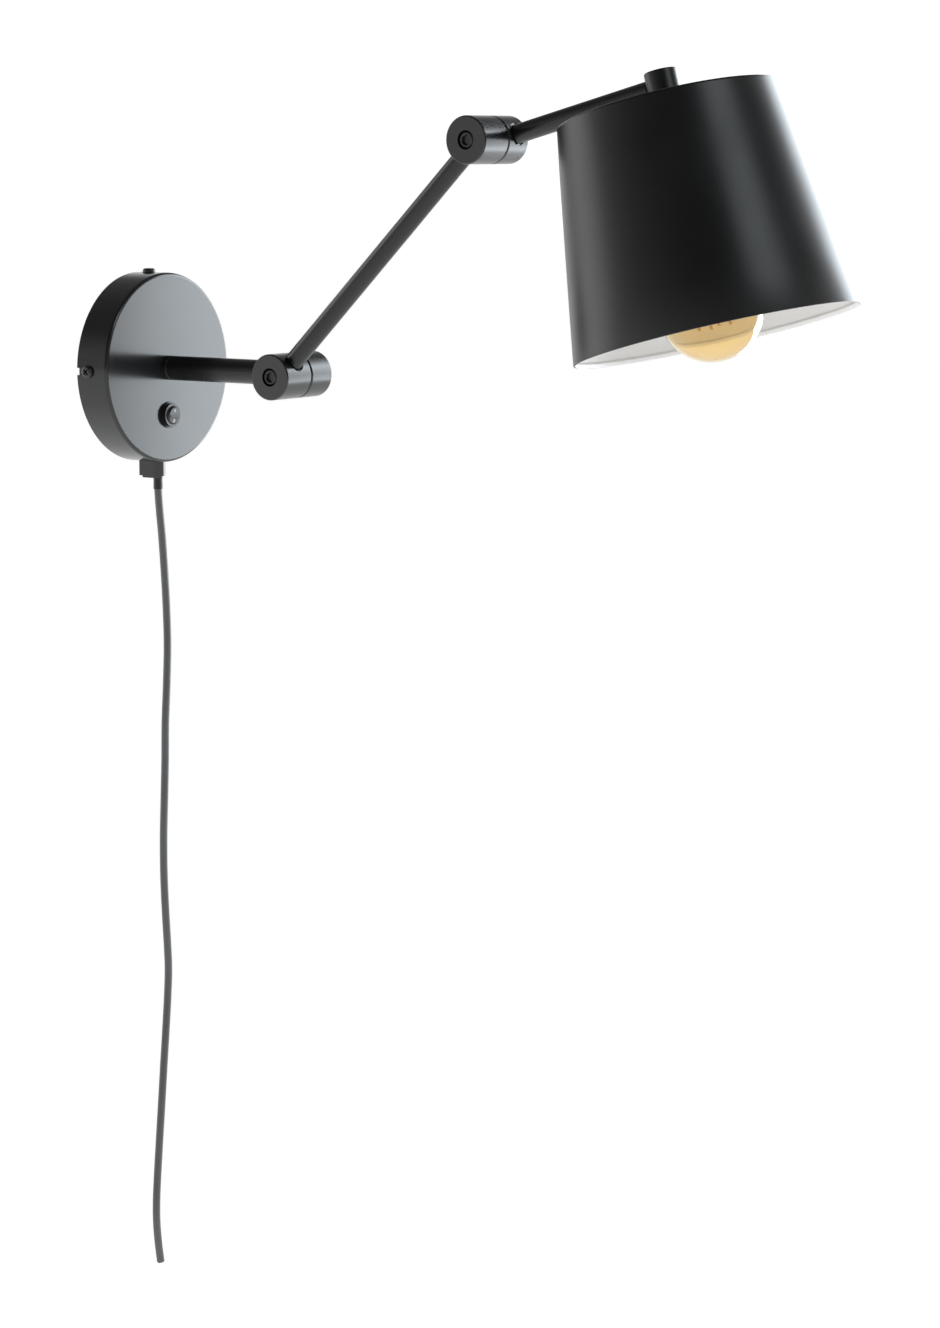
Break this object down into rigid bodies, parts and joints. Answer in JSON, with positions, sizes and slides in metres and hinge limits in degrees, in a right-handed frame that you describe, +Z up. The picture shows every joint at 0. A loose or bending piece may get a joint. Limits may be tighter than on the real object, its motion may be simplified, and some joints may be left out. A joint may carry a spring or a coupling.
{
  "type": "swing arm wall sconce",
  "caption": "Black wall sconce with a round canopy, two friction-jointed arms, a cone shade with an amber bulb, a rocker switch and a hanging cord.",
  "frame": {"origin": "centre of the canopy's back, on the wall, midway between the two screw slots", "axes": "+Y into the wall, +Z up, +X to the right of someone facing the wall; the arm reaches out along -Y"},
  "size_m": [0.1666, 0.5076, 0.774],
  "materials": {
    "black_enamel": "satin black stove enamel",
    "black_gloss": "gloss black enamel",
    "black_screws": "black oxide",
    "zinc_steel": "zinc plated",
    "brass": "plain",
    "nickel": "nickel plated",
    "black_plastic": "smooth black",
    "rocker_plastic": "dark grey",
    "white_marks": "white inlay",
    "soft_black": "matt black",
    "wire_plastic": "insulation",
    "ceramic": "glazed off-white",
    "amber_glass": "transparent amber",
    "clear_glass": "clear",
    "filament": "yellow phosphor"
  },
  "bodies": {
    "wall_base": {"wall_plate": "black_enamel", "canopy": "black_enamel", "side_screws": "black_screws", "switch_housing": "black_plastic", "switch_nut": "black_plastic", "switch_blades": "brass", "terminal_block": "ceramic", "terminal_screws": "zinc_steel", "supply_wires": "wire_plastic", "cord_clamp": "black_gloss", "clamp_nipple": "zinc_steel", "clamp_nut": "zinc_steel", "cord_bush": "soft_black", "cord": "soft_black", "spindle": "zinc_steel", "spindle_nut": "zinc_steel", "spindle_washer": "zinc_steel", "stem_collar": "black_enamel", "stem_wires": "wire_plastic"},
    "switch_rocker": {"switch_rocker": "rocker_plastic", "rocker_marks": "white_marks"},
    "stem": {"stem_tube": "black_enamel", "stem_bearing": "brass", "stem_plug": "zinc_steel", "stem_knuckle": "black_enamel"},
    "lower_arm": {"friction_rings": "soft_black", "lower_knuckle_1": "black_enamel", "lower_knuckle_2": "black_enamel", "lower_arm_tube": "black_enamel", "lower_arm_nipples": "zinc_steel", "pivot_bolts": "black_screws", "pivot_washers": "zinc_steel", "pivot_nuts": "zinc_steel", "lower_arm_wires": "wire_plastic"},
    "upper_arm": {"upper_knuckle": "black_enamel", "upper_arm_tube": "black_enamel", "upper_arm_nipples": "zinc_steel", "upper_arm_wires": "wire_plastic", "knob": "black_enamel", "shade": "black_enamel", "shade_tube": "zinc_steel", "shade_washer": "zinc_steel", "holder_dome": "black_plastic", "holder_skirt": "black_plastic", "holder_insert": "ceramic", "holder_contacts": "brass", "holder_screw_shell": "brass", "bulb_cap": "nickel", "bulb_contact": "brass", "bulb_glass": "amber_glass", "bulb_mount": "clear_glass", "bulb_filaments": "filament"}
  },
  "joints": [
    {"name": "stem_swivel", "type": "hinge", "parent": "wall_base", "child": "stem", "pos_m": [0, -0.028, 0], "axis": [0, -1, 0], "range_deg": [-90, 90]},
    {"name": "lower_joint", "type": "hinge", "parent": "stem", "child": "lower_arm", "pos_m": [0, -0.1326, 0], "axis": [1, 0, 0], "range_deg": [-40, 60]},
    {"name": "upper_joint", "type": "hinge", "parent": "lower_arm", "child": "upper_arm", "pos_m": [0, -0.27789, 0.14278], "axis": [1, 0, 0], "range_deg": [-75, 45]},
    {"name": "switch_rocker_tilt", "type": "hinge", "parent": "wall_base", "child": "switch_rocker", "pos_m": [0, -0.0256, -0.03], "axis": [1, 0, 0], "range_deg": [-14, 0]}
  ]
}
